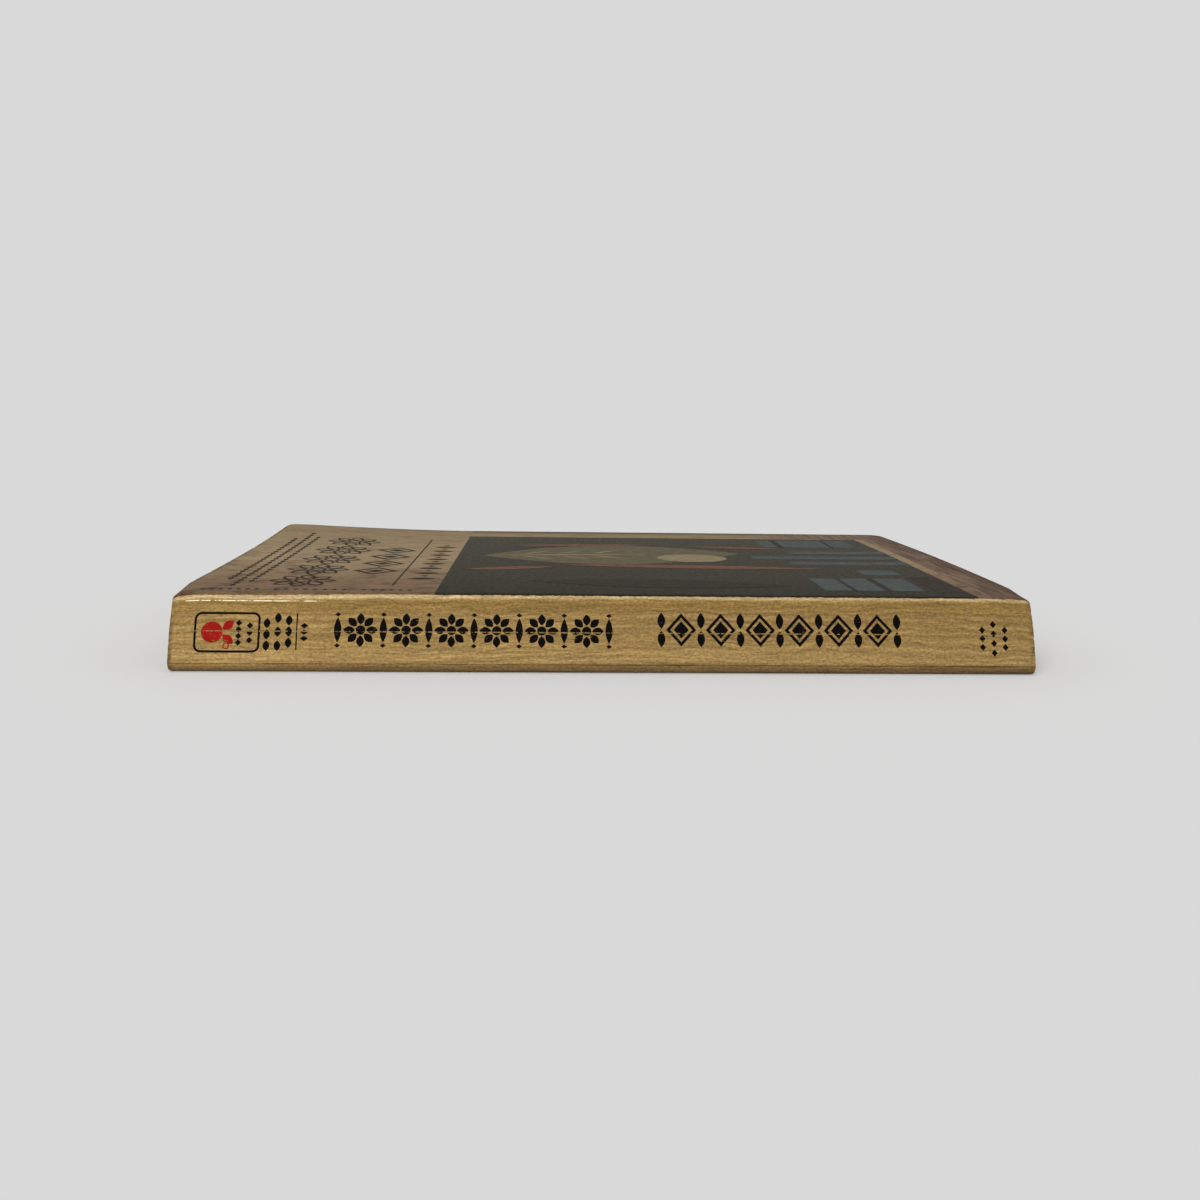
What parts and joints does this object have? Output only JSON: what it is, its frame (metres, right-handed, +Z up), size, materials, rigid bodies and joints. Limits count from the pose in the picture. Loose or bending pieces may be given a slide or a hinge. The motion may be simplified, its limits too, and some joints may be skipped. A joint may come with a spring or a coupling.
{
  "type": "paperback book",
  "caption": "Small used paperback book lying on its back cover, with a leaning rounded spine, a block of leaves and two covers that open.",
  "frame": {"origin": "centre of the closed book's box, on the surface that the back cover lies on", "axes": "+X along the spine from the head to the tail, +Y from the spine to the fore edge, +Z up from the back cover to the front cover"},
  "size_m": [0.178, 0.1114, 0.0182],
  "materials": {
    "leaves": "uncoated groundwood paper, browned at the trimmed edges",
    "glue": "clear amber hot-melt adhesive",
    "cover_card": "printed cover board with a worn satin varnish"
  },
  "bodies": {
    "book": {"page_block": "leaves", "spine_glue": "glue", "spine_cover": "cover_card"},
    "front_cover": {"front_cover": "cover_card"},
    "back_cover": {"back_cover": "cover_card"}
  },
  "joints": [
    {"name": "front_hinge", "type": "hinge", "parent": "book", "child": "front_cover", "pos_m": [0, -0.04632, 0.0156], "axis": [1, 0, 0], "range_deg": [0, 179]},
    {"name": "back_hinge", "type": "hinge", "parent": "book", "child": "back_cover", "pos_m": [0, -0.05232, 0], "axis": [-1, 0, 0], "range_deg": [0, 179]}
  ]
}
